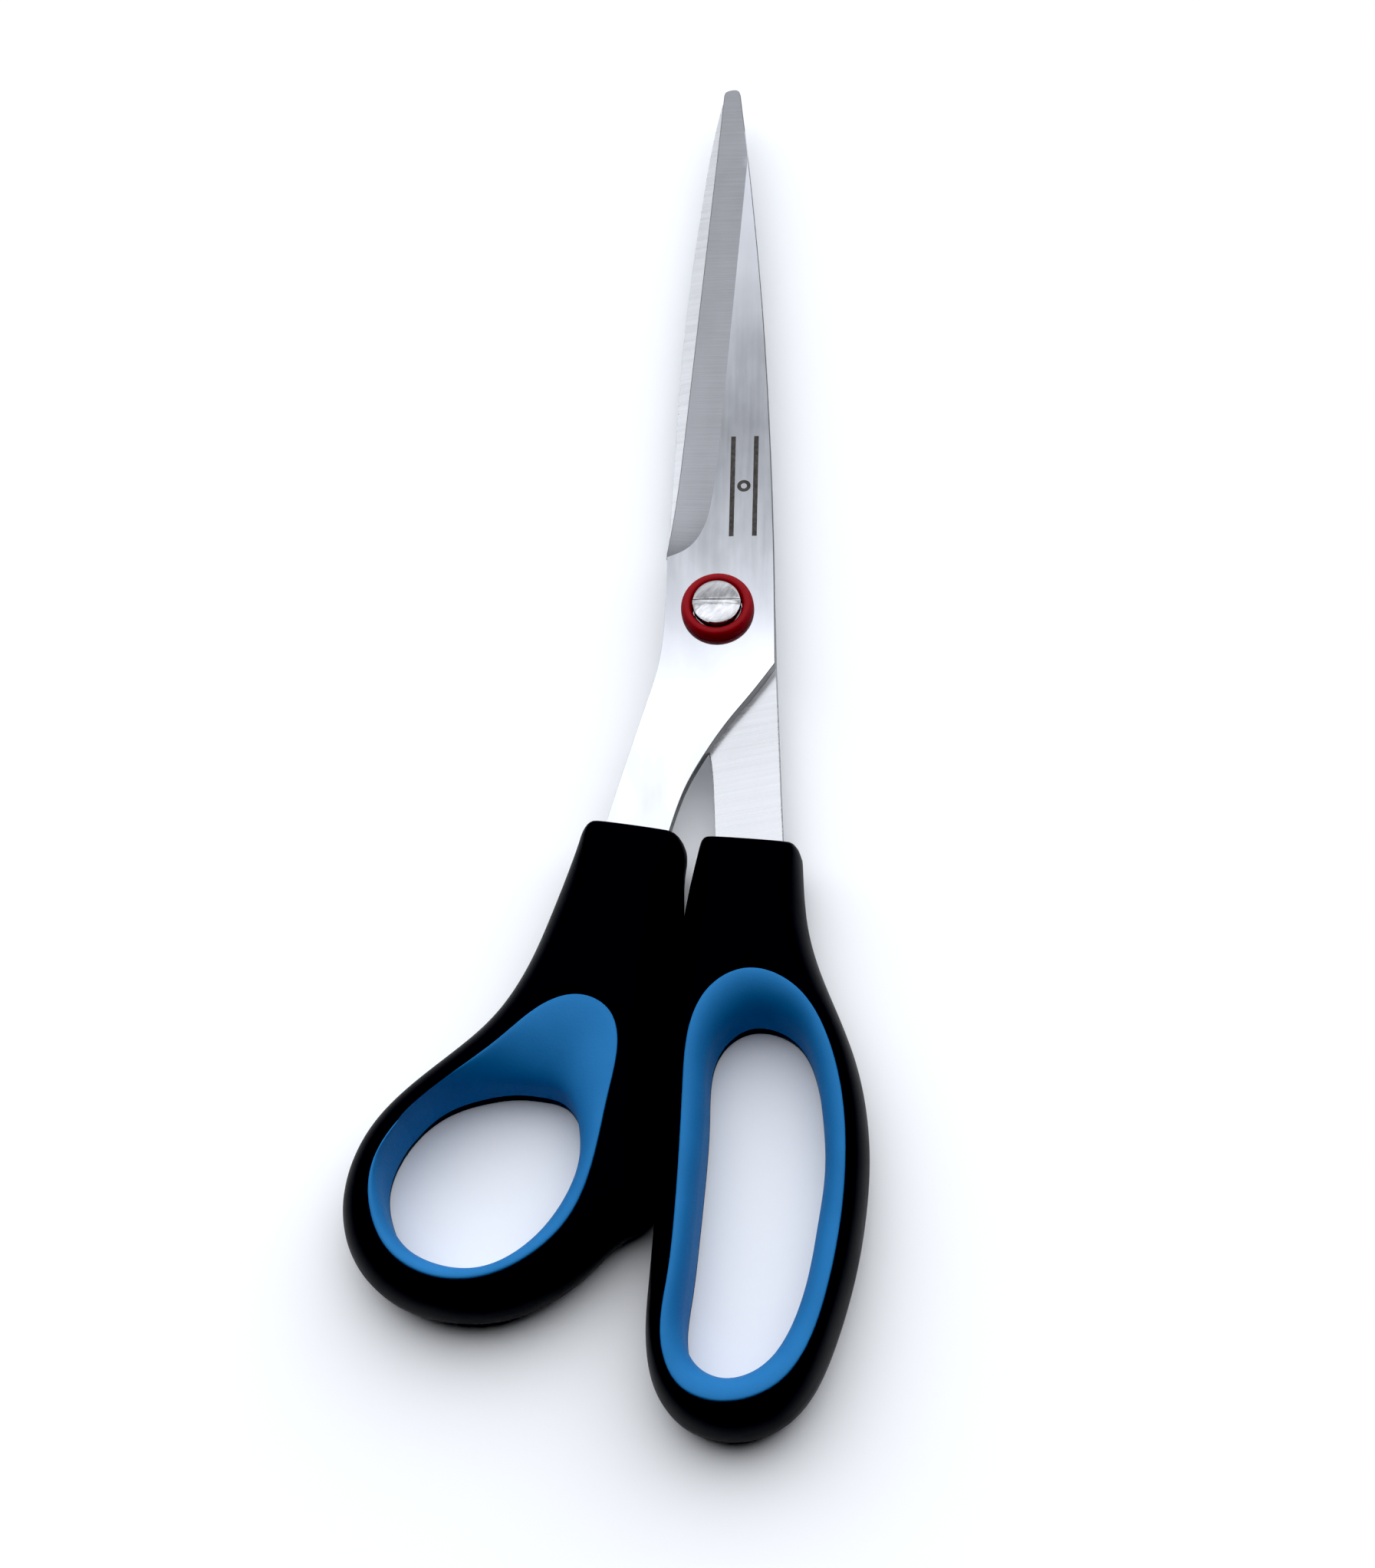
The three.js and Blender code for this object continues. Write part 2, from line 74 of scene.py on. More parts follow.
GRIP_DROP = 0.12                 # how far the insert's rim lies below the handle's top
GRIP_EDGE = 0.3
ROLL_DEPTH = 4.6
FAR_ROLL = 1.6                   # how much deeper the insert rolls in on the side towards the blades
GRIP_BOTTOM = LIP_TOP + 0.1
SKIRT = 0.3                      # thickness of the insert where it hangs down over that lip
SKIRT_GAP = 0.1                  # between the skirt and the handle's bottom edge

BLADE_THICKNESS = 1.8
FRONT_BOTTOM = 6.1
BACK_BOTTOM = 4.1
BLADE_BEVEL = 0.1
FACET_EDGE_LAND = 0.35
# Where the grinding is deeper than MIN_GROUND, the top bevel along the cutting edge is drawn in the dark
# edge steel: a painted shade line for the shadow gap under the edge.
MIN_GROUND = 0.15                # where the grinding is deeper than this, the edge is a cutting edge
FINE_X = (-8.0, 1.0)             # a finer mesh lies between these x and y, where the facet runs out
FINE_Y = (8.5, 26.0)
FINE_SPACING = 0.45

HEAD_RADIUS = 3.5
HEAD_TOP = 10.4
HEAD_HEIGHT = 1.8
HEAD_CROWN = 0.11                # how much higher the head's middle is than its rim
SHOULDER_RADIUS = 2.5
THREAD_RADIUS = 2.0
SLOT_WIDTH = 0.9
SLOT_DEPTH = 0.35
SLOT_EDGE = 0.13                 # width of the broken edge along the slot
RING_RADIUS = 5.3
RING_CREST = 9.8
RING_FULLNESS = 0.75             # 1 for an elliptical section, less for a fuller one
WASHER_RADIUS = 3.4
NUT_RADIUS = 4.6
NUT_THICKNESS = 1.1

WELD = 1e-6                      # in metres: points closer than this become one
PER_KNOT = 14
RUN_OUT_STEPS = 24
OUTLINE_SPACING = 0.7
PROFILE_STEPS = 22
ROUND_SIDES = 96
CORNER_STEPS = 4

# ---------------------------------------------------------------- outlines, in millimetres

THUMB_SIDE = [
    (-3.6, -39.4), (-4.6, -47), (-5.4, -56), (-6.1, -65), (-6.6, -74), (-6.7, -81), (-6.5, -85.5),
    (-6.7, -91), (-7.9, -93.6), (-10.6, -95.4), (-14.2, -99), (-18, -102.4), (-22.3, -105),
    (-27, -106.6), (-32, -106.9), (-39, -105.5), (-45.2, -101.2), (-48.7, -94.6), (-48.8, -87),
    (-45, -78.4), (-37, -70.4), (-30, -63.7), (-25.3, -55.8), (-22.1, -47), (-19, -37.6),
]
THUMB_COLLAR = [((-18.2, -34.2), (-15.9, -34.5)), ((-6.2, -35.9),), ((-3.5, -36.2), (-3.6, -39.4))]
FINGER_SIDE = [
    (-1.85, -38.6), (-3.2, -45), (-4.6, -56), (-5.35, -65), (-5.6, -75), (-6, -84), (-6.55, -94),
    (-7.05, -103), (-7.1, -110.6), (-5.2, -117.6), (-0.9, -121.9), (4.9, -123.2), (10.4, -121.7),
    (14.9, -117.3), (18.3, -109.4), (20.8, -100), (22.2, -90), (22.2, -80), (20.2, -69.4),
    (16.4, -59.3), (13.7, -50.4), (12.75, -40),
]
FINGER_COLLAR = [((12.6, -38.15), (10.9, -38.05)), ((0, -37.15),), ((-1.6, -37.1), (-1.85, -38.6))]

# The visible edge of each soft insert and the opening inside it: the knots of the two lists match.
THUMB_RIM = [
    (-17.5, -61.9), (-13.2, -64.2), (-11.8, -69.5), (-12.9, -77), (-14.4, -85.5), (-17.1, -93.5),
    (-21.8, -99), (-28.5, -102.5), (-36, -102.4), (-42, -98.5), (-44.8, -92), (-44.6, -86),
    (-41.5, -80.2), (-35.5, -74.3), (-28.5, -68.6), (-22.8, -63.6),
]
THUMB_HOLE = [
    (-23.4, -73.3), (-19.8, -74.5), (-17.7, -77.8), (-16.9, -82.4), (-17.4, -87.2), (-19.9, -92.6),
    (-23.7, -97.1), (-29, -100.1), (-34.8, -99.9), (-39.8, -97.3), (-42.8, -92.5), (-43.9, -86.8),
    (-41.5, -80.3), (-36.9, -75.7), (-31.8, -73.7), (-27.2, -73),
]
FINGER_RIM = [
    (6, -58.2), (12.2, -60.8), (16.4, -67.2), (18.9, -76.5), (19.5, -86), (18.9, -95), (17.3, -104),
    (14.7, -112.1), (10.4, -117.7), (3.6, -119.8), (-2.3, -117.4), (-4.8, -110.5), (-4.1, -102.5),
    (-3.4, -94.1), (-3, -84.5), (-2.8, -75.5), (-2.2, -67.2), (0.6, -60.9),
]
FINGER_HOLE = [
    (6.6, -63.3), (12.1, -65.5), (14.9, -71.2), (16.1, -78.5), (16.5, -86.5), (15.6, -94.4), (14.3, -102),
    (11.9, -109.2), (8.5, -113.8), (3.8, -115.5), (-0.3, -113.5), (-2.1, -108.5), (-1.6, -101.8),
    (-0.9, -94.1), (-0.2, -84.5), (0.1, -76.5), (0.4, -69.5), (2.5, -65.2),
]

# Blade outlines, clockwise from the tip: each stretch is a spline through its points.
FRONT_BLADE = [
    [(-1.2, 91.3), (-1, 92.1), (-0.4, 92.4), (0.5, 92.35), (1.1, 92), (1.45, 91)],
    [(1.45, 91), (2.7, 80.6), (4.1, 67.5), (5.7, 50.1), (6.8, 34), (7.6, 19), (8.1, 6), (8.5, -9)],
    [(8.5, -9), (5.1, -13.9), (2.1, -17.9), (-0.5, -21.9), (-2.7, -25.8), (-4.5, -29.9), (-6.6, -37.2)],
    [(-6.6, -37.2), (-10.7, -52.5)],
    [(-10.7, -52.5), (-17.9, -50.6)],
    [(-17.9, -50.6), (-15.9, -36.5)],
    [(-15.9, -36.5), (-13.4, -27.2), (-10.8, -18), (-8.6, -9.8), (-7.8, -3), (-7.7, 9.5)],
    [(-7.7, 9.5), (-7.15, 14.3), (-6.6, 19.4), (-6.1, 25)],
    [(-6.1, 25), (-1.2, 91.3)],
]
BACK_BLADE = [
    [(-1.6, 90.3), (-1.1, 91.2), (0, 91.5), (0.85, 91.3), (1.2, 90.8)],
    [(1.2, 90.8), (6.1, 25)],
    [(6.1, 25), (6.6, 19.4), (7.15, 14.3), (7.7, 9.5)],
    [(7.7, 9.5), (8.2, 0), (8.5, -8), (9.1, -19.9), (9.6, -29.6), (10.1, -38)],
    [(10.1, -38), (9.2, -53.6)],
    [(9.2, -53.6), (1, -53)],
    [(1, -53), (0.4, -38)],
    [(0.4, -38), (0.1, -31.9), (-0.4, -25), (-1.5, -20.4), (-4.4, -14.4), (-7.8, -7.4)],
    [(-7.8, -7.4), (-7.7, 10), (-7.3, 24), (-6.8, 39), (-5.9, 54.5), (-4.4, 70), (-3, 82), (-1.6, 90.3)],
]
FACET_BORDER = ((-0.6, 24.4), (2.75, 78))        # straight inner border of the front blade's facet
FACET_EDGE = (-6.1, 25.0)        # a point on the cutting edge, where the facet has its full depth
FACET_RUN_OUT = [(-7.7, 8.8), (-5.2, 9.9), (-3.4, 11.7), (-2.1, 14.5), (-1.35, 18), (-0.6, 24.4)]

# A plain ornament etched into the front blade: two bars with a ring between them.
MARK_CENTRE = (3.4, 20.6)
MARK_LENGTH = 17.0
MARK_SPREAD = 1.7                # from the centre line to the middle of each bar
MARK_LINE = 0.7
MARK_RING = (1.0, 0.45)
TANG_BEND_LENGTH = 6.0
FRONT_TANG_BEND = (-12.0, -0.03)                 # from y, slope after the bend
BACK_TANG_BEND = (-8.0, 0.02)

# ---------------------------------------------------------------- curves


def spline(knots, closed, per_knot=PER_KNOT):
    """Points along a smooth curve through the knots, the same number on each stretch."""
    p = np.array(knots, float)
    n = len(p)
    if n == 2 and not closed:
        share = np.linspace(0, 1, per_knot, endpoint=False)[:, None]
        return np.vstack([p[0] + (p[1] - p[0]) * share, p[1:]])
    after = np.roll(p, -1, 0)
    h = np.sqrt(np.linalg.norm(after - p, axis=1))
    a = np.zeros((n, n))
    b = np.zeros((n, 2))
    for i in range(n):
        j, k = (i - 1) % n, (i + 1) % n
        if not closed and i in (0, n - 1):
            a[i, i] = 1
            continue
        a[i, j] += h[j]
        a[i, i] += 2 * (h[j] + h[i])
        a[i, k] += h[i]
        b[i] = 6 * ((p[k] - p[i]) / h[i] - (p[i] - p[j]) / h[j])
    bend = np.linalg.solve(a, b)
    points = []
    for i in range(n if closed else n - 1):
        k = (i + 1) % n
        t = np.linspace(0, h[i], per_knot, endpoint=False)[:, None]
        r = h[i] - t
        points.append(
            bend[i] * r**3 / (6 * h[i]) + bend[k] * t**3 / (6 * h[i])
            + (p[i] / h[i] - bend[i] * h[i] / 6) * r + (p[k] / h[i] - bend[k] * h[i] / 6) * t
        )
    if not closed:
        points.append(p[-1:])
    return np.vstack(points)


def evenly(points, spacing):
    """A closed outline again, with points at equal steps."""
    ends = np.vstack([points, points[:1]])
    length = np.concatenate([[0], np.cumsum(np.linalg.norm(np.diff(ends, axis=0), axis=1))])
    count = int(round(length[-1] / spacing))
    at = np.linspace(0, length[-1], count, endpoint=False)
    return np.stack([np.interp(at, length, ends[:, k]) for k in (0, 1)], 1)


def area_of(points):
    x, y = points[:, 0], points[:, 1]
    return 0.5 * np.sum(x * np.roll(y, -1) - np.roll(x, -1) * y)


def counter_clockwise(points):
    return points[::-1].copy() if area_of(points) < 0 else points


def outward_normals(points):
    d = np.roll(points, -1, 0) - np.roll(points, 1, 0)
    n = np.stack([d[:, 1], -d[:, 0]], 1)
    return n / np.linalg.norm(n, axis=1)[:, None]


def grown(points, distance):
    """A counter-clockwise outline pushed out by a distance, or by one for each point."""
    return points + outward_normals(points) * np.reshape(distance, (-1, 1))


def room_inside(points):
    """For each point, the radius of the largest circle inside the outline that touches it there."""
    n = outward_normals(points)
    step = points[None, :, :] - points[:, None, :]
    inward = -np.einsum("ijk,ik->ij", step, n)
    radius = np.where(inward > 1e-6, np.sum(step**2, 2) / np.maximum(2 * inward, 1e-9), np.inf)
    return radius.min(1)


def softened(values, reach):
    """A running mean round a closed list."""
    return sum(np.roll(values, k) for k in range(-reach, reach + 1)) / (2 * reach + 1)


def inside(points, outline):
    """Which points lie inside a closed outline."""
    x, y = points[:, 0:1], points[:, 1:2]
    a, b = outline, np.roll(outline, -1, 0)
    crosses = (a[:, 1] > y) != (b[:, 1] > y)
    rise = np.where(np.abs(b[:, 1] - a[:, 1]) < 1e-12, 1e-12, b[:, 1] - a[:, 1])
    at = a[:, 0] + (y - a[:, 1]) * (b[:, 0] - a[:, 0]) / rise
    return np.sum(crosses & (x < at), axis=1) % 2 == 1


def smooth_step(value):
    t = np.clip(value, 0, 1)
    return t * t * (3 - 2 * t)


# ---------------------------------------------------------------- meshes


class Shell:
    """Faces in millimetres that are welded into one closed mesh."""

    def __init__(self):
        self.points = []
        self.faces = []
        self.kinds = []

    def add(self, points, faces, kind=0):
        base = len(self.points)
        self.points.extend([float(c) for c in p] for p in points)
        self.faces.extend([base + int(i) for i in f] for f in faces)
        self.kinds.extend(kind if isinstance(kind, list) else [kind] * len(faces))

    def bands(self, rings, closed=False, kind=0):
        """Joins rings of equal length, each closed on itself."""
        count = len(rings[0])
        faces = []
        for band in range(len(rings) if closed else len(rings) - 1):
            low = band * count
            high = (band + 1) % len(rings) * count
            for i in range(count):
                j = (i + 1) % count
                faces.append((low + i, low + j, high + j, high + i))
        self.add(np.vstack(rings), faces, kind)

    def fill(self, outlines, height, spacing, lines=(), kind_at=None, extra=None):
        """Fills the first outline, less the others, with triangles at the heights of a function.

        The lines become edges of the mesh, and the extra points become corners."""
        flat = list(outlines)
        points = [p for o in flat for p in o]
        edges = []
        start = 0
        for o in flat:
            edges += [(start + i, start + (i + 1) % len(o)) for i in range(len(o))]
            start += len(o)
        for line in lines:
            edges += [(start + i, start + i + 1) for i in range(len(line) - 1)]
            points += list(line)
            start += len(line)
        low, high = flat[0].min(0), flat[0].max(0)
        xs = np.arange(low[0] + spacing / 2, high[0], spacing)
        ys = np.arange(low[1] + spacing / 2, high[1], spacing)
        grid = np.stack(np.meshgrid(xs, ys), 2).reshape(-1, 2)
        keep = inside(grid, flat[0])
        for o in flat[1:]:
            keep &= ~inside(grid, o)
        rim = np.vstack([*flat, *lines, *([extra] if extra is not None else [])])
        near = np.min(np.linalg.norm(grid[:, None] - rim[None], axis=2), axis=1)
        points += list(grid[keep & (near > spacing * 0.4)])
        if extra is not None:
            points += list(extra)
        made = delaunay_2d_cdt([Vector(p) for p in points], edges, [], 0, 1e-6, True)
        verts = np.array([list(v) for v in made[0]])
        for k, origin in enumerate(made[3]):
            if origin:
                verts[k] = points[origin[0]]
        faces = np.array(made[2])
        centre = verts[faces].mean(1)
        keep = inside(centre, flat[0])
        for o in flat[1:]:
            keep &= ~inside(centre, o)
        faces, centre = faces[keep], centre[keep]
        solid = np.column_stack([verts, height(verts)])
        kinds = kind_at(centre) if kind_at else np.zeros(len(faces), int)
        for kind in sorted(set(kinds.tolist())):
            self.add(solid, faces[kinds == kind], kind)

    def build(self, name, materials, sharp_angle=35.0):
        mesh = bpy.data.meshes.new(name)
        place = np.array([PIVOT.x, PIVOT.y, 0.0])
        mesh.from_pydata((np.array(self.points) * MM + place).tolist(), [], self.faces)
        for material in materials:
            mesh.materials.append(material)
        mesh.polygons.foreach_set("material_index", self.kinds)
        bm = bmesh.new()
        bm.from_mesh(mesh)
        bmesh.ops.remove_doubles(bm, verts=bm.verts, dist=WELD)
        bmesh.ops.dissolve_degenerate(bm, edges=bm.edges, dist=WELD)
        bmesh.ops.delete(bm, geom=[v for v in bm.verts if not v.link_faces], context="VERTS")
        bmesh.ops.recalc_face_normals(bm, faces=bm.faces)
        open_edges = sum(1 for e in bm.edges if len(e.link_faces) != 2)
        print(f"{name}: {len(bm.faces)} faces, {open_edges} open edges")
        bm.to_mesh(mesh)
        bm.free()
        mesh.shade_smooth()
        mesh.set_sharp_from_angle(angle=math.radians(sharp_angle))
        piece = bpy.data.objects.new(name, mesh)
        bpy.context.scene.collection.objects.link(piece)
        return piece


def raised(outline, height):
    heights = np.broadcast_to(height, (len(outline),))
    return np.column_stack([outline, heights])


# ---------------------------------------------------------------- materials


class Finish:
    """A procedural material and short ways to add nodes to it."""

    def __init__(self, name, colour, roughness, metallic=0.0, ior=1.5):
        self.material = bpy.data.materials.new(name)
        self.material.use_nodes = True
        self.tree = self.material.node_tree
        self.shader = self.tree.nodes["Principled BSDF"]
        self.shader.inputs["Base Color"].default_value = (*colour, 1)
        self.shader.inputs["Roughness"].default_value = roughness
        self.shader.inputs["Metallic"].default_value = metallic
        self.shader.inputs["IOR"].default_value = ior
        self.place = self.tree.nodes.new("ShaderNodeTexCoord")

    def link(self, source, target):
        self.tree.links.new(source, target)

    def noise(self, scale, detail, turn=0.0):
        """Noise with its own number of features per metre along each axis."""
        mapping = self.tree.nodes.new("ShaderNodeMapping")
        mapping.inputs["Rotation"].default_value = (0, 0, math.radians(turn))
        turned = self.tree.nodes.new("ShaderNodeMapping")
        turned.inputs["Scale"].default_value = scale
        texture = self.tree.nodes.new("ShaderNodeTexNoise")
        texture.inputs["Scale"].default_value = 1.0
        texture.inputs["Detail"].default_value = detail
        self.link(self.place.outputs["Object"], mapping.inputs["Vector"])
        self.link(mapping.outputs["Vector"], turned.inputs["Vector"])
        self.link(turned.outputs["Vector"], texture.inputs["Vector"])
        return texture.outputs["Fac"]

    def ranged(self, value, from_low, from_high, low, high):
        node = self.tree.nodes.new("ShaderNodeMapRange")
        node.inputs["From Min"].default_value = from_low
        node.inputs["From Max"].default_value = from_high
        node.inputs["To Min"].default_value = low
        node.inputs["To Max"].default_value = high
        self.link(value, node.inputs["Value"])
        return node.outputs["Result"]

    def blend(self, share, low, high):
        """A colour between two."""
        node = self.tree.nodes.new("ShaderNodeMix")
        node.data_type = "RGBA"
        for socket, colour in (("A", low), ("B", high)):
            target = [s for s in node.inputs if s.name == socket and s.type == "RGBA"][0]
            target.default_value = (*colour, 1)
        self.link(share, node.inputs["Factor"])
        return [s for s in node.outputs if s.type == "RGBA"][0]

    def shaded(self, colour, factor):
        """A colour made darker or lighter by a factor."""
        node = self.tree.nodes.new("ShaderNodeVectorMath")
        node.operation = "SCALE"
        self.link(colour, node.inputs[0])
        self.link(factor, node.inputs["Scale"])
        return node.outputs["Vector"]

    def sum(self, *values):
        total = values[0]
        for value in values[1:]:
            node = self.tree.nodes.new("ShaderNodeMath")
            node.operation = "ADD"
            self.link(total, node.inputs[0])
            self.link(value, node.inputs[1])
            total = node.outputs[0]
        return total

    def colour(self, value):
        self.link(value, self.shader.inputs["Base Color"])

    def roughness(self, value):
        self.link(value, self.shader.inputs["Roughness"])

    def bump(self, value, distance_mm, strength=1.0):
        node = self.tree.nodes.new("ShaderNodeBump")
        node.inputs["Distance"].default_value = distance_mm * MM
        node.inputs["Strength"].default_value = strength
        self.link(value, node.inputs["Height"])
        self.link(node.outputs["Normal"], self.shader.inputs["Normal"])


def black_plastic():
    finish = Finish("black_plastic", (0.003, 0.003, 0.0042), 0.42, ior=1.3)
    finish.shader.inputs["Specular IOR Level"].default_value = 0.06
    grain = finish.noise((2600, 2600, 2600), 2)
    cloud = finish.noise((90, 90, 90), 3)
    finish.roughness(finish.ranged(cloud, 0.3, 0.7, 0.36, 0.5))
    finish.bump(grain, 0.012)
    return finish.material


def blue_soft():
    finish = Finish("blue_soft", (0.019, 0.143, 0.355), 0.62, ior=1.35)
    finish.shader.inputs["Specular IOR Level"].default_value = 0.1
    grain = finish.noise((3200, 3200, 3200), 2)
    cloud = finish.noise((120, 120, 120), 4)
    share = finish.ranged(cloud, 0.3, 0.7, 0, 1)
    finish.colour(finish.blend(share, (0.0175, 0.134, 0.335), (0.0205, 0.152, 0.375)))
    finish.roughness(finish.ranged(grain, 0.3, 0.7, 0.55, 0.7))
    finish.bump(grain, 0.02)
    return finish.material


def red_plastic():
    finish = Finish("red_plastic", (0.23, 0.007, 0.010), 0.36)
    finish.shader.inputs["Specular IOR Level"].default_value = 0.08
    cloud = finish.noise((700, 700, 700), 3)
    finish.colour(finish.blend(cloud, (0.20, 0.006, 0.009), (0.26, 0.008, 0.012)))
    finish.roughness(finish.ranged(cloud, 0.3, 0.7, 0.5, 0.6))
    finish.bump(finish.noise((2500, 2500, 2500), 2), 0.01)
    return finish.material


def steel(name, tone, roughness, lines, turn=0.0, depth=0.002, streaks=0.06, clouds=0.06):
    """Ground steel: fine lines at a chosen scale and slant over a faint cloudy tint."""
    finish = Finish(name, tone, roughness, metallic=1.0)
    fine = finish.noise(lines, 3, turn)
    cloud = finish.noise((220, 110, 220), 3)
    wear = finish.noise((60, 25, 60), 2)
    streaked = finish.blend(
        finish.ranged(fine, 0.3, 0.7, 0, 1),
        tuple(c * (1 - streaks) for c in tone), tuple(min(1.0, c * (1 + streaks)) for c in tone),
    )
    share = finish.ranged(finish.sum(cloud, wear), 0.7, 1.3, 0, 1)
    finish.colour(finish.shaded(streaked, finish.ranged(share, 0, 1, 1 - clouds, 1 + clouds / 2)))
    finish.roughness(finish.ranged(finish.sum(fine, cloud), 0.7, 1.3, roughness * 0.85, roughness * 1.2))
    finish.bump(fine, depth)
    return finish.material


def etched():
    """Black oxide left by the marking acid, a little speckled."""
    finish = Finish("etched_mark", (0.032, 0.026, 0.020), 0.6)
    speckle = finish.noise((2200, 2200, 2200), 3)
    share = finish.ranged(speckle, 0.35, 0.7, 0, 1)
    finish.colour(finish.blend(share, (0.024, 0.018, 0.014), (0.06, 0.052, 0.045)))
    finish.bump(speckle, 0.01)
    return finish.material


MATERIALS = {
    "black": black_plastic(),
    "blue": blue_soft(),
    "red": red_plastic(),
    "satin": steel(
        "satin_steel", (0.745, 0.76, 0.805), 0.09, (1300, 60, 400),
        depth=0.00025, streaks=0.015, clouds=0.12,
    ),
    "facet": steel(
        "ground_facet_steel", (0.60, 0.605, 0.64), 0.22, (40, 6000, 300),
        turn=10.5, streaks=0.06, clouds=0.07,
    ),
    "inner": steel(
        "inner_face_steel", (0.82, 0.825, 0.85), 0.28, (35, 1700, 300),
        turn=-11.0, depth=0.001, streaks=0.06, clouds=0.09,
    ),
    # The dark edge steel is the sheared sides' own tone. On the cutting edge's top bevel it is a painted
    # shade line.
    "edge": steel("sheared_edge_and_shade_line_steel", (0.26, 0.255, 0.25), 0.5, (900, 900, 120), streaks=0.2),
    "screw": steel(
        "screw_steel", (0.61, 0.61, 0.62), 0.10, (1500, 550, 300),
        turn=35.0, depth=0.010, streaks=0.2,
    ),
    "etched": etched(),
}

# ---------------------------------------------------------------- handles and soft inserts


def handle_outline(side, collar):
    """The side's curve, then the collar: straight runs, and corners as (control point, end)."""
    points = [spline(side, False)]
    here = np.array(side[-1], float)
    for corner in collar:
        if len(corner) == 1:
            end = np.array(corner[0], float)
            share = np.linspace(0, 1, 12)[1:, None]
            points.append(here + (end - here) * share)
        else:
            bend, end = np.array(corner[0], float), np.array(corner[1], float)
            t = np.linspace(0, 1, 16)[1:, None]
            points.append((1 - t) ** 2 * here + 2 * t * (1 - t) * bend + t**2 * end)
        here = end
    outline = np.vstack(points)[:-1]
    return counter_clockwise(evenly(outline, OUTLINE_SPACING))


def half_thickness(y):
    """Half of a handle's thickness at y."""
    low, high = COLLAR_TAPER
    thinner = (HANDLE_THICKNESS - COLLAR_THICKNESS) / 2
    return MID - thinner * smooth_step((y - low) / (high - low))


def top_height(points):
    return MID + half_thickness(points[:, 1])


def towards_blades(opening):
    """How much, from 0 to 1, each point of a finger hole's outline lies on the side of the blades."""
    return np.maximum(0, outward_normals(opening)[:, 1]) ** 2


def beside_gap(outline, side):
    """How much, from 0 to 1, each point of a handle's outline faces the other handle across the gap."""
    low, high = GAP_Y
    low_fade, high_fade = GAP_FADE
    along = smooth_step((outline[:, 1] - low) / low_fade) * smooth_step((high - outline[:, 1]) / high_fade)
    return along * smooth_step(side * outward_normals(outline)[:, 0] * 2 - 1)


def handle(name, side, collar, collar_y, rim, hole, gap_side, rib=0.0):
    """A rounded handle with an opening whose wall has a black edge below and a pocket above it."""
    outline = handle_outline(side, collar)
    beside = beside_gap(outline, gap_side)
    normals = outward_normals(outline)
    opening = counter_clockwise(spline(hole, True))
    # The black edge stands higher on the shaded side towards the blades: a real lip, made taller as painted
    # shade.
    toe_top = TOE_HEIGHT + TOE_RISE * towards_blades(opening)
    pocket = grown(counter_clockwise(spline(rim, True)), SEAM)
    near_collar = COLLAR_EDGE + COLLAR_EASE * np.maximum(0, collar_y - outline[:, 1])
    band = np.min(np.linalg.norm(outline[:, None] - pocket[None], axis=2), axis=1) - 1.5 * SEAM_EDGE
    full = np.full(len(outline), EDGE_ROUNDING)
    rounding = np.min([full, near_collar, band, ROOM_SHARE * room_inside(outline)], axis=0)
    rounding = softened(softened(rounding, 3), 3)
    low_rounding = rounding + (np.minimum(GAP_ROUNDING, rounding) - rounding) * beside
    rings = []
    for step in range(PROFILE_STEPS + 1):
        angle = math.pi * (step / PROFILE_STEPS - 0.5)
        ridge = PARTING_RIDGE if step * 2 == PROFILE_STEPS else 0.0
        bulge = rib * beside * max(0.0, math.sin(-2 * angle))
        inset = (low_rounding if angle < 0 else rounding) * (1 - math.cos(angle)) - ridge - bulge
        points = outline - normals * inset[:, None]
        rings.append(raised(points, MID + half_thickness(outline[:, 1]) * math.sin(angle)))
    shell = Shell()
    shell.bands(rings)

    lip = []
    for step in range(6):
        angle = math.pi / 2 * step / 5
        out = TOE_ROUNDING * (1 - math.sin(angle))
        lip.append(raised(grown(opening, out), TOE_ROUNDING * (1 - math.cos(angle))))
    lip.append(raised(opening, toe_top))
    lip.append(raised(grown(opening, LIP_BACK), toe_top))
    lip.append(raised(grown(opening, LIP_BACK), LIP_TOP))
    lip.append(raised(pocket, LIP_TOP))
    edge_top = top_height(pocket)
    for step in range(5):
        angle = math.pi / 2 * step / 4
        out = SEAM_EDGE * (1 - math.cos(angle))
        lip.append(raised(grown(pocket, out), edge_top - SEAM_EDGE * (1 - math.sin(angle))))
    shell.bands(lip)

    seam = lip[-1][:, :2]
    top = rings[-1]
    bottom = rings[0]

    def heights_on(ring, inner, sign):
        known = {tuple(np.round(p[:2], 6)): p[2] for p in np.vstack([ring, inner])}

        def height(points):
            made = MID + sign * half_thickness(points[:, 1])
            for i, p in enumerate(points):
                made[i] = known.get(tuple(np.round(p, 6)), made[i])
            return made

        return height

    shell.fill([top[:, :2], seam], heights_on(top, lip[-1], 1), spacing=2.0)
    shell.fill([bottom[:, :2], lip[0][:, :2]], heights_on(bottom, lip[0], -1), spacing=2.0)
    return shell.build(name, [MATERIALS["black"]])


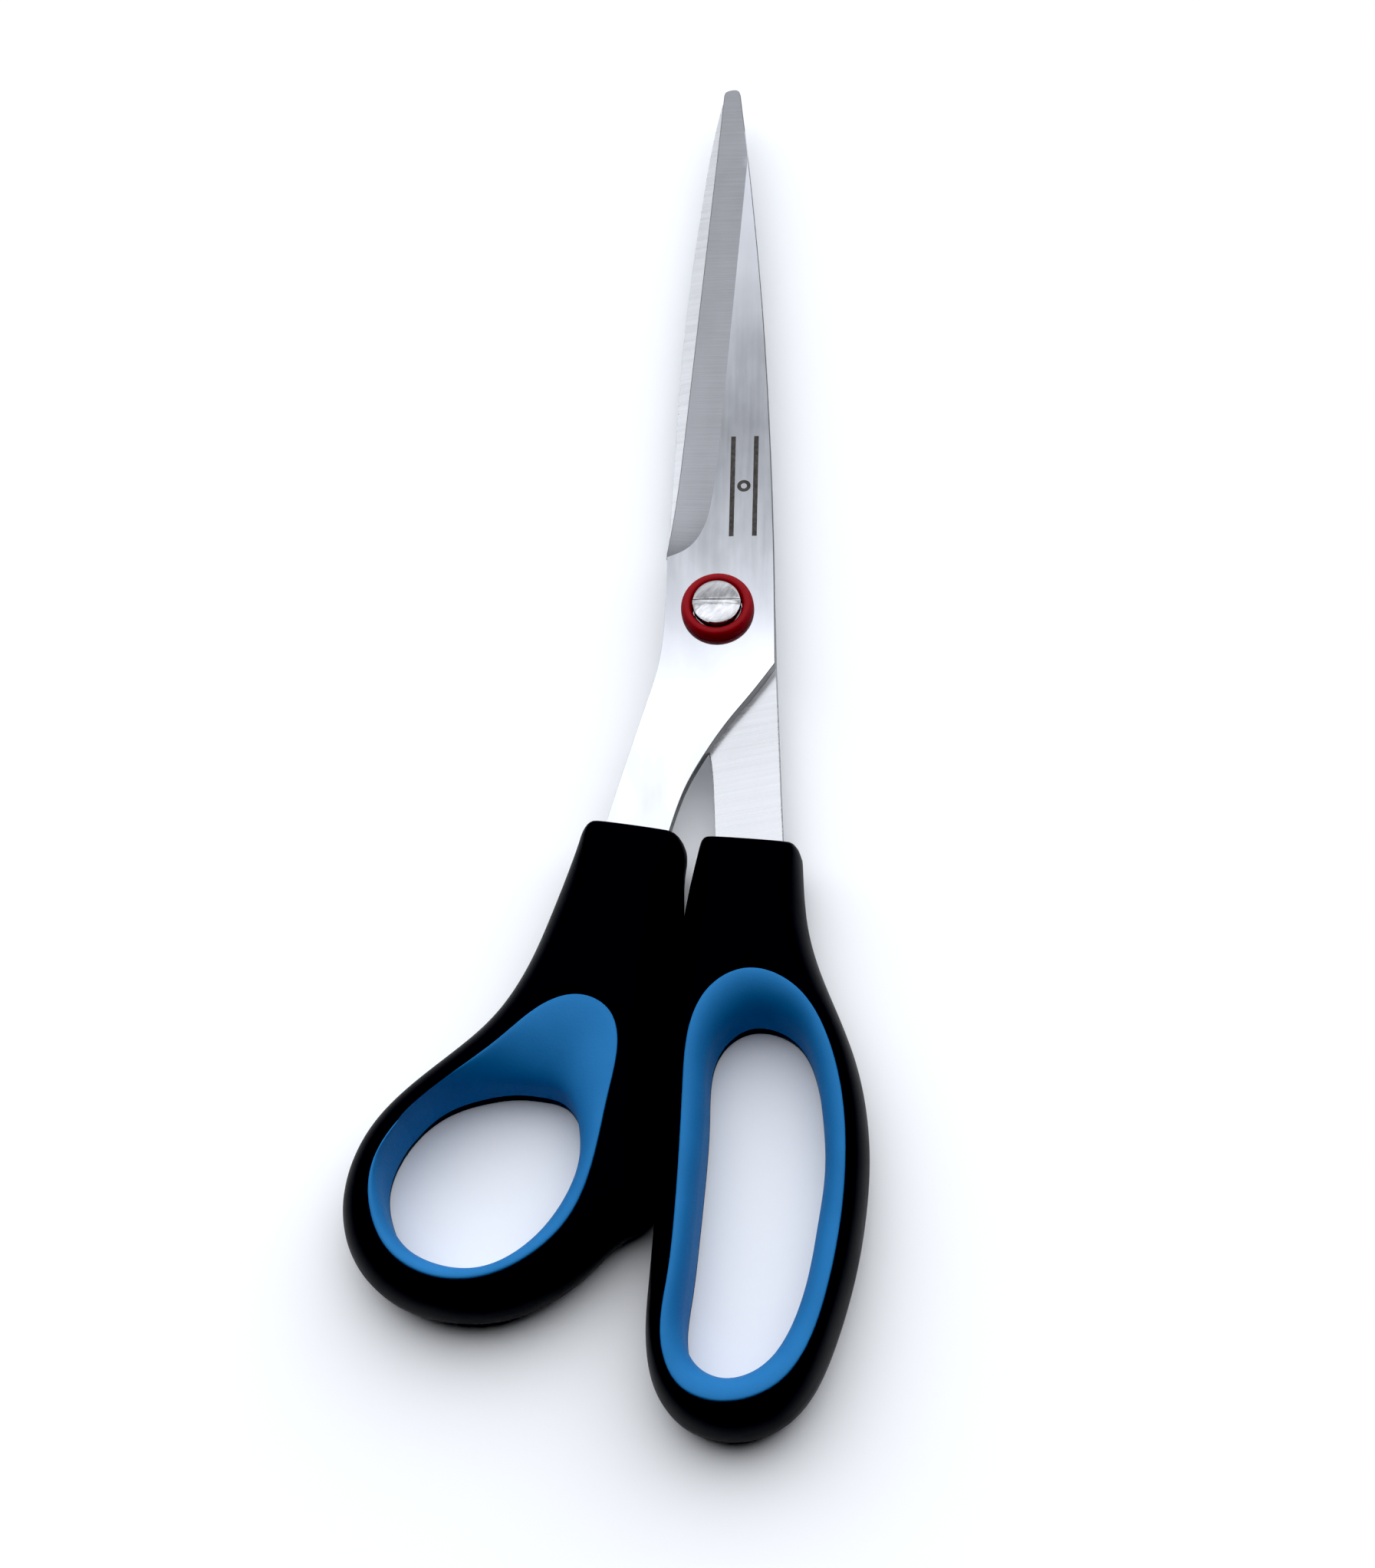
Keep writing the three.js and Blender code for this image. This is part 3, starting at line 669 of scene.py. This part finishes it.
def grip(name, rim, hole):
    """A soft insert: it rolls in from its rim, and then its wall hangs down to a thin skirt."""
    outer = spline(rim, True)
    inner = spline(hole, True)
    if area_of(outer) < 0:
        outer, inner = outer[::-1].copy(), inner[::-1].copy()
    across = inner - outer
    width = np.linalg.norm(across, axis=1)[:, None]
    top = top_height(outer) - GRIP_DROP
    roll = ROLL_DEPTH + FAR_ROLL * towards_blades(inner)
    skirt_bottom = TOE_HEIGHT + TOE_RISE * towards_blades(inner) + SKIRT_GAP
    rings = [raised(outer, GRIP_BOTTOM)]
    for step in range(5):
        angle = math.pi / 2 * step / 4
        moved = outer + across / width * GRIP_EDGE * (1 - math.cos(angle))
        rings.append(raised(moved, top - GRIP_EDGE * (1 - math.sin(angle))))
    start = rings[-1][:, :2]
    steps = 16
    for step in range(1, steps + 1):
        angle = math.pi / 2 * step / steps
        moved = start + (inner - start) * math.sin(angle)
        rings.append(raised(moved, top - roll * (1 - math.cos(angle))))
    wall_top = top - roll
    for share in (0.33, 0.67):
        rings.append(raised(inner, wall_top + (skirt_bottom + SKIRT / 2 - wall_top) * share))
    for step in range(7):
        angle = math.pi * step / 6
        moved = inner - across / width * SKIRT / 2 * (1 - math.cos(angle))
        rings.append(raised(moved, skirt_bottom + SKIRT / 2 * (1 - math.sin(angle))))
    rings.append(raised(inner - across / width * SKIRT, GRIP_BOTTOM))
    shell = Shell()
    shell.bands(rings, closed=True)
    return shell.build(name, [MATERIALS["blue"]])


# ---------------------------------------------------------------- blades

FLAT, FACET, SHEARED_AND_SHADE_LINE, INNER, ETCHED = range(5)   # places in a blade's list of materials


def blade_outline(stretches):
    points = []
    for stretch in stretches:
        points.append(spline(stretch, False, 12)[:-1])
    return counter_clockwise(np.vstack(points))


def facet_region():
    """The area that is ground to a facet, open towards the blade's cutting side and tip."""
    low, high = (np.array(p, float) for p in FACET_BORDER)
    along = (high - low) / np.linalg.norm(high - low)
    run_out = spline(FACET_RUN_OUT, False, RUN_OUT_STEPS)
    return np.vstack([run_out, high + along * 30, [-30, 120], [-30, run_out[0, 1]]])


def facet_line():
    """The facet's border as a line to keep in the mesh: the curved run-out, then the straight part."""
    low, high = (np.array(p, float) for p in FACET_BORDER)
    share = np.linspace(0, 1.03, 40)[:, None]
    return np.vstack([spline(FACET_RUN_OUT, False, RUN_OUT_STEPS), low + (high - low) * share[1:]])


def facet_depth(points):
    """How far the grinding has gone below the flat: an even slope away from the facet's border."""
    border = facet_line()
    edge_x, edge_y = FACET_EDGE
    slope = (BLADE_THICKNESS - FACET_EDGE_LAND) / (np.interp(edge_y, border[:, 1], border[:, 0]) - edge_x)
    across = np.maximum(0, np.interp(points[:, 1], border[:, 1], border[:, 0]) - points[:, 0])
    along = np.maximum(0, points[:, 1] - np.interp(points[:, 0], border[:, 0], border[:, 1]))
    return slope * across * along / np.maximum(np.hypot(across, along), 1e-6)


def bent(heights, y, bend):
    """Heights with the tang set over: level, then a short bend, then an even slope to the handle."""
    start, slope = bend
    past = np.maximum(0, start - y)
    short = past**2 / (2 * TANG_BEND_LENGTH)
    return heights + slope * np.where(past < TANG_BEND_LENGTH, short, past - TANG_BEND_LENGTH / 2)


def ended_on(line, outline):
    """A line with its two ends moved to the nearest points of an outline."""
    ends = [outline[np.argmin(np.linalg.norm(outline - line[k], axis=1))] for k in (0, -1)]
    return np.vstack([ends[0], line[1:-1], ends[1]])


def blade(name, stretches, bottom, depth, marks, bend, kinds, materials, turned=False):
    """A blank with bevelled edges; its top falls away by depth(points) where it is ground."""
    outline = blade_outline(stretches)
    inset = grown(outline, -BLADE_BEVEL)
    lines = [ended_on(facet_line(), inset)] + marks
    top = bottom + BLADE_THICKNESS
    cut = depth(inset)
    upper = top - cut
    side_top = np.maximum(upper - BLADE_BEVEL, bottom + 1.5 * BLADE_BEVEL)
    rings = [
        raised(inset, bent(bottom, outline[:, 1], bend)),
        raised(outline, bent(bottom + BLADE_BEVEL, outline[:, 1], bend)),
        raised(outline, bent(side_top, outline[:, 1], bend)),
        raised(inset, bent(upper, outline[:, 1], bend)),
    ]
    shell = Shell()
    shell.bands(rings[:2], kind=kinds["bevel"])
    shell.bands(rings[1:3], kind=kinds["side"])
    # The top bevel along the cutting edge takes the dark edge steel as a painted shade line; elsewhere it is
    # satin.
    shell.bands(rings[2:], kind=[kinds["cutting"] if c > MIN_GROUND else kinds["flat"] for c in cut])
    low = {tuple(np.round(p[:2], 6)): p[2] for p in rings[0]}
    high = {tuple(np.round(p[:2], 6)): p[2] for p in rings[3]}

    def height_from(known, base, ground):
        def height(points):
            made = bent(base - (depth(points) if ground else 0.0) * np.ones(len(points)), points[:, 1], bend)
            for i, p in enumerate(points):
                made[i] = known.get(tuple(np.round(p, 6)), made[i])
            return made
        return height

    shell.fill([inset], height_from(low, bottom, False), spacing=2.5, kind_at=kinds["under"])
    across, along = (np.arange(*limits, FINE_SPACING) for limits in (FINE_X, FINE_Y))
    finer = np.stack(np.meshgrid(across, along), 2).reshape(-1, 2)
    kept = finer[inside(finer, grown(inset, -0.3)) & (depth(finer) > 0.05)]
    heights = height_from(high, top, True)
    shell.fill([inset], heights, spacing=1.2, lines=lines, kind_at=kinds["over"], extra=kept)
    if turned:
        for p in shell.points:
            p[0] = -p[0]
            p[2] = 2 * MID - p[2]
    return shell.build(name, materials, sharp_angle=9.0)


def mark_shapes():
    """The outlines of the etched bars, and of the ring's outer and inner edges."""
    centre = np.array(MARK_CENTRE)
    bars = []
    for side in (-1, 1):
        x, y = side * MARK_SPREAD, MARK_LENGTH / 2
        half = MARK_LINE / 2
        bars.append(centre + np.array([(x - half, -y), (x + half, -y), (x + half, y), (x - half, y)]))
    angles = np.linspace(0, 2 * math.pi, 40, endpoint=False)
    circle = np.stack([np.cos(angles), np.sin(angles)], 1)
    return bars, [centre + circle * radius for radius in MARK_RING]


def front_blade():
    region = facet_region()
    bars, ring = mark_shapes()

    def over(centre):
        kinds = np.where(inside(centre, region), FACET, FLAT)
        marked = inside(centre, bars[0]) | inside(centre, bars[1])
        marked |= inside(centre, ring[0]) & ~inside(centre, ring[1])
        return np.where(marked, ETCHED, kinds)

    # The cutting edge's top bevel gets the dark edge steel: a painted shade line.
    kinds = {
        "side": SHEARED_AND_SHADE_LINE, "cutting": SHEARED_AND_SHADE_LINE, "flat": FLAT, "bevel": INNER,
        "under": lambda centre: np.full(len(centre), INNER), "over": over,
    }
    materials = [MATERIALS[k] for k in ("satin", "facet", "edge", "inner", "etched")]
    marks = [np.vstack([shape, shape[:1]]) for shape in bars + ring]
    return blade(
        "steel_front_blade", FRONT_BLADE, FRONT_BOTTOM, facet_depth, marks, FRONT_TANG_BEND, kinds, materials
    )


def back_blade():
    """Drawn as if it were turned over, ground side up, and then turned back."""
    mirrored = [[(-x, y) for x, y in stretch] for stretch in BACK_BLADE]
    region = facet_region()
    # The cutting edge's top bevel gets the dark edge steel: a painted shade line.
    kinds = {
        "side": SHEARED_AND_SHADE_LINE, "cutting": SHEARED_AND_SHADE_LINE, "flat": FLAT, "bevel": INNER,
        "under": lambda centre: np.full(len(centre), INNER),
        "over": lambda centre: np.where(inside(centre, region), FACET, FLAT),
    }
    materials = [MATERIALS[k] for k in ("satin", "facet", "edge", "inner")]
    start, slope = BACK_TANG_BEND
    return blade(
        "steel_back_blade", mirrored, FRONT_BOTTOM, facet_depth, [], (start, -slope), kinds, materials,
        turned=True,
    )


# ---------------------------------------------------------------- pivot


def turned_part(name, profile, material, sharp_angle=35.0):
    """A round part from its closed profile of (radius, height); a radius of 0 is the axis."""
    angles = np.linspace(0, 2 * math.pi, ROUND_SIDES, endpoint=False)
    circle = np.stack([np.cos(angles), np.sin(angles)], 1)
    rings = [raised(circle * max(radius, 0.001), height) for radius, height in profile]
    shell = Shell()
    shell.bands(rings, closed=True)
    return shell.build(name, [material], sharp_angle)


def rounded_profile(corners, radius):
    """A profile with each of its corners cut by a small arc, less where a side is short."""
    points = [np.array(c, float) for c in corners]
    made = []
    for i, here in enumerate(points):
        before, after = points[i - 1], points[(i + 1) % len(points)]
        to_before, to_after = before - here, after - here
        reach = min(radius, 0.4 * np.linalg.norm(to_before), 0.4 * np.linalg.norm(to_after))
        a = here + to_before / np.linalg.norm(to_before) * reach
        b = here + to_after / np.linalg.norm(to_after) * reach
        for t in np.linspace(0, 1, CORNER_STEPS + 1):
            made.append(tuple((1 - t) ** 2 * a + 2 * t * (1 - t) * here + t**2 * b))
    return made


def pivot_ring():
    """A plain ring whose section swells in one curve from the blade to the crest."""
    base = FRONT_BOTTOM + BLADE_THICKNESS + 0.05
    bore = HEAD_RADIUS + 0.08
    middle, half = (RING_RADIUS + bore) / 2, (RING_RADIUS - bore) / 2
    profile = []
    for share in np.linspace(0, 1, 33):
        angle = math.pi * share - math.sin(2 * math.pi * share) / 2
        along, up = math.cos(angle), max(0.0, math.sin(angle))
        reach = math.copysign(abs(along) ** RING_FULLNESS, along)
        profile.append((middle + half * reach, base + (RING_CREST - base) * up**RING_FULLNESS))
    return turned_part("red_pivot_ring", profile, MATERIALS["red"], 60.0)


def tension_washer():
    base = FRONT_BOTTOM + BLADE_THICKNESS + 0.05
    corners = [
        (SHOULDER_RADIUS + 0.2, base + 0.15), (WASHER_RADIUS, base), (WASHER_RADIUS, base + 0.3),
        (SHOULDER_RADIUS + 0.2, base + 0.45),
    ]
    return turned_part("steel_tension_washer", rounded_profile(corners, 0.06), MATERIALS["screw"])


def pivot_nut():
    top = BACK_BOTTOM - 0.02
    bottom = BACK_BOTTOM - NUT_THICKNESS
    bore = THREAD_RADIUS + 0.08
    corners = [
        (bore, top + 1.5), (bore, bottom + 0.25), (bore + 0.25, bottom), (NUT_RADIUS - 0.6, bottom),
        (NUT_RADIUS, bottom + 0.6), (NUT_RADIUS, top), (3.0, top), (3.0, top + 1.5),
    ]
    return turned_part("steel_pivot_nut", rounded_profile(corners, 0.12), MATERIALS["screw"])


def slotted_screw():
    """Made as a plain turned screw, and then cut by a bar for the slot."""
    under = HEAD_TOP - HEAD_HEIGHT
    thread_top = BACK_BOTTOM + BLADE_THICKNESS - 0.1
    end = BACK_BOTTOM - NUT_THICKNESS + 0.3
    corners = [
        (0.0, end), (THREAD_RADIUS - 0.3, end), (THREAD_RADIUS, end + 0.3), (THREAD_RADIUS, thread_top),
        (SHOULDER_RADIUS, thread_top), (SHOULDER_RADIUS, under), (HEAD_RADIUS, under),
    ]
    crown = [(HEAD_RADIUS, HEAD_TOP - 0.25), (HEAD_RADIUS - 0.08, HEAD_TOP - 0.12)]
    crown += [(r, HEAD_TOP - HEAD_CROWN * (r / HEAD_RADIUS) ** 2) for r in np.linspace(3.3, 0, 12)]
    piece = turned_part("steel_pivot_screw", corners + crown, MATERIALS["screw"])
    cutter = bpy.data.meshes.new("slot_bar")
    bm = bmesh.new()
    bmesh.ops.create_cube(bm, size=1.0)
    size = Vector((3 * HEAD_RADIUS, SLOT_WIDTH, 2 * SLOT_DEPTH)) * MM
    bmesh.ops.scale(bm, vec=size, verts=bm.verts)
    bmesh.ops.translate(bm, vec=Vector((PIVOT.x, PIVOT.y, HEAD_TOP * MM)), verts=bm.verts)
    bm.to_mesh(cutter)
    bm.free()
    bar = bpy.data.objects.new("slot_bar", cutter)
    bpy.context.scene.collection.objects.link(bar)
    cut = piece.modifiers.new("slot", "BOOLEAN")
    cut.object = bar
    cut.solver = "EXACT"
    soften = piece.modifiers.new("edges", "BEVEL")
    soften.width = SLOT_EDGE * MM
    soften.segments = 2
    soften.limit_method = "ANGLE"
    soften.angle_limit = math.radians(50)
    bpy.context.view_layer.update()
    final = bpy.data.meshes.new_from_object(piece.evaluated_get(bpy.context.evaluated_depsgraph_get()))
    piece.modifiers.clear()
    piece.data = final
    final.shade_smooth()
    final.set_sharp_from_angle(angle=math.radians(30))
    bpy.data.objects.remove(bar)
    return piece


# ---------------------------------------------------------------- camera, floor and light

CAMERA_DISTANCE = 550.0
CAMERA_TARGET = (-3.836, -27.234, 6.0)
CAMERA_ELEVATION = 63.356
CAMERA_AZIMUTH = 11.720
CAMERA_ROLL = -11.377
CAMERA_LENS = 88.67

# What reflections see: (sine of the height above the horizon, brightness).
CEILING = [
    (0.0, 0.12), (0.4, 0.15), (0.6, 0.5), (0.66, 0.6), (0.78, 0.85), (0.821, 1.05), (0.8275, 1.0),
    (0.833, 0.75), (0.842, 0.52), (0.848, 0.34), (0.853, 0.38), (0.866, 0.6), (0.870, 0.8),
    (0.875, 1.15), (0.882, 1.75), (0.9, 1.75), (0.94, 1.0), (1.0, 0.9),
]
SKY_TINT = (0.96, 0.985, 1.03)

# What matt surfaces see: a round dome of light behind the object, half way up.
DOME_FROM = (0.0, 1.0, 1.0)
DOME_EDGE = (0.469, 0.643)       # cosines of the angles from its middle where the light ends and is full
DOME_POWER = 2.5
BLACK_LEVEL = 0.0065             # light that the camera records as black


def in_frame(x, y, z):
    return Vector((PIVOT.x + x * MM, PIVOT.y + y * MM, z * MM))


def make_camera():
    e, a, roll = (math.radians(v) for v in (CAMERA_ELEVATION, CAMERA_AZIMUTH, CAMERA_ROLL))
    back = Vector((math.sin(a) * math.cos(e), -math.cos(a) * math.cos(e), math.sin(e)))
    level_right = Vector((math.cos(a), math.sin(a), 0))
    level_up = back.cross(level_right)
    right = math.cos(roll) * level_right + math.sin(roll) * level_up
    up = math.cos(roll) * level_up - math.sin(roll) * level_right
    data = bpy.data.cameras.new("camera")
    data.sensor_width = 36
    data.lens = CAMERA_LENS
    data.clip_start = 0.01
    data.clip_end = 20
    camera = bpy.data.objects.new("camera", data)
    place = in_frame(*CAMERA_TARGET) + back * CAMERA_DISTANCE * MM
    turn = Matrix((right, up, back)).transposed().to_4x4()
    camera.matrix_world = Matrix.Translation(place) @ turn
    bpy.context.scene.collection.objects.link(camera)
    bpy.context.scene.camera = camera


def make_floor():
    mesh = bpy.data.meshes.new("floor")
    bm = bmesh.new()
    bmesh.ops.create_grid(bm, x_segments=2, y_segments=2, size=2.5)
    bm.to_mesh(mesh)
    bm.free()
    floor = bpy.data.objects.new("floor", mesh)
    bpy.context.scene.collection.objects.link(floor)
    finish = Finish("pale_table", (0.87, 0.875, 0.885), 0.7, ior=1.3)
    finish.bump(finish.noise((900, 900, 900), 3), 0.01)
    mesh.materials.append(finish.material)


def make_world():
    """Soft studio surroundings: reflections see a ceiling that brightens with height, and matt
    surfaces a wide soft dome behind the object."""
    world = bpy.data.worlds.new("studio")
    bpy.context.scene.world = world
    world.use_nodes = True
    world.cycles.sampling_method = "NONE"
    nodes, links = world.node_tree.nodes, world.node_tree.links
    background = nodes["Background"]
    place = nodes.new("ShaderNodeTexCoord")
    split = nodes.new("ShaderNodeSeparateXYZ")
    ramp = nodes.new("ShaderNodeValToRGB")
    links.new(place.outputs["Generated"], split.inputs["Vector"])
    links.new(split.outputs["Z"], ramp.inputs["Fac"])
    stops = ramp.color_ramp.elements
    first, last = CEILING[0], CEILING[-1]
    stops[0].position, stops[0].color = first[0], (*(first[1] * c for c in SKY_TINT), 1)
    stops[1].position, stops[1].color = last[0], (*(last[1] * c for c in SKY_TINT), 1)
    for position, tone in CEILING[1:-1]:
        stops.new(position).color = (*(tone * c for c in SKY_TINT), 1)
    facing = nodes.new("ShaderNodeVectorMath")
    facing.operation = "DOT_PRODUCT"
    facing.inputs[1].default_value = Vector(DOME_FROM).normalized()
    links.new(place.outputs["Generated"], facing.inputs[0])
    fill = nodes.new("ShaderNodeMapRange")
    fill.inputs["From Min"].default_value = DOME_EDGE[0]
    fill.inputs["From Max"].default_value = DOME_EDGE[1]
    fill.inputs["To Min"].default_value = 0
    fill.inputs["To Max"].default_value = DOME_POWER
    links.new(facing.outputs["Value"], fill.inputs["Value"])
    tinted = nodes.new("ShaderNodeVectorMath")
    tinted.operation = "SCALE"
    tinted.inputs[0].default_value = SKY_TINT
    links.new(fill.outputs["Result"], tinted.inputs["Scale"])
    ray = nodes.new("ShaderNodeLightPath")
    choose = nodes.new("ShaderNodeMix")
    choose.data_type = "RGBA"
    colours = [i for i in choose.inputs if i.type == "RGBA"]
    links.new(ray.outputs["Is Diffuse Ray"], choose.inputs["Factor"])
    links.new(ramp.outputs["Color"], colours[0])
    links.new(tinted.outputs["Vector"], colours[1])
    links.new([o for o in choose.outputs if o.type == "RGBA"][0], background.inputs["Color"])


scene = bpy.context.scene
scene.view_settings.view_transform = "Standard"
scene.view_settings.use_curve_mapping = True
scene.view_settings.curve_mapping.black_level = (BLACK_LEVEL,) * 3
scene.view_settings.curve_mapping.update()
make_camera()
make_floor()
make_world()

# ---------------------------------------------------------------- pieces, and what each one stands for

PIECES = [
    (front_blade(), "front_half", "front_blade", "blade_steel"),
    (back_blade(), "back_half", "back_blade", "blade_steel"),
    (
        handle("black_thumb_handle", THUMB_SIDE, THUMB_COLLAR, -35.0, THUMB_RIM, THUMB_HOLE, 1, STOP_RIB),
        "front_half", "thumb_handle", "black_plastic",
    ),
    (
        handle("black_finger_handle", FINGER_SIDE, FINGER_COLLAR, -37.5, FINGER_RIM, FINGER_HOLE, -1),
        "back_half", "finger_handle", "black_plastic",
    ),
    (grip("blue_thumb_grip", THUMB_RIM, THUMB_HOLE), "front_half", "thumb_grip", "blue_soft"),
    (grip("blue_finger_grip", FINGER_RIM, FINGER_HOLE), "back_half", "finger_grip", "blue_soft"),
    (slotted_screw(), "back_half", "pivot_screw", "pivot_steel"),
    (pivot_ring(), "back_half", "pivot_ring", "red_plastic"),
    (tension_washer(), "back_half", "tension_washer", "pivot_steel"),
    (pivot_nut(), "back_half", "pivot_nut", "pivot_steel"),
]
for piece, body, node, slot in PIECES:
    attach(piece, body)
    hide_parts(node)
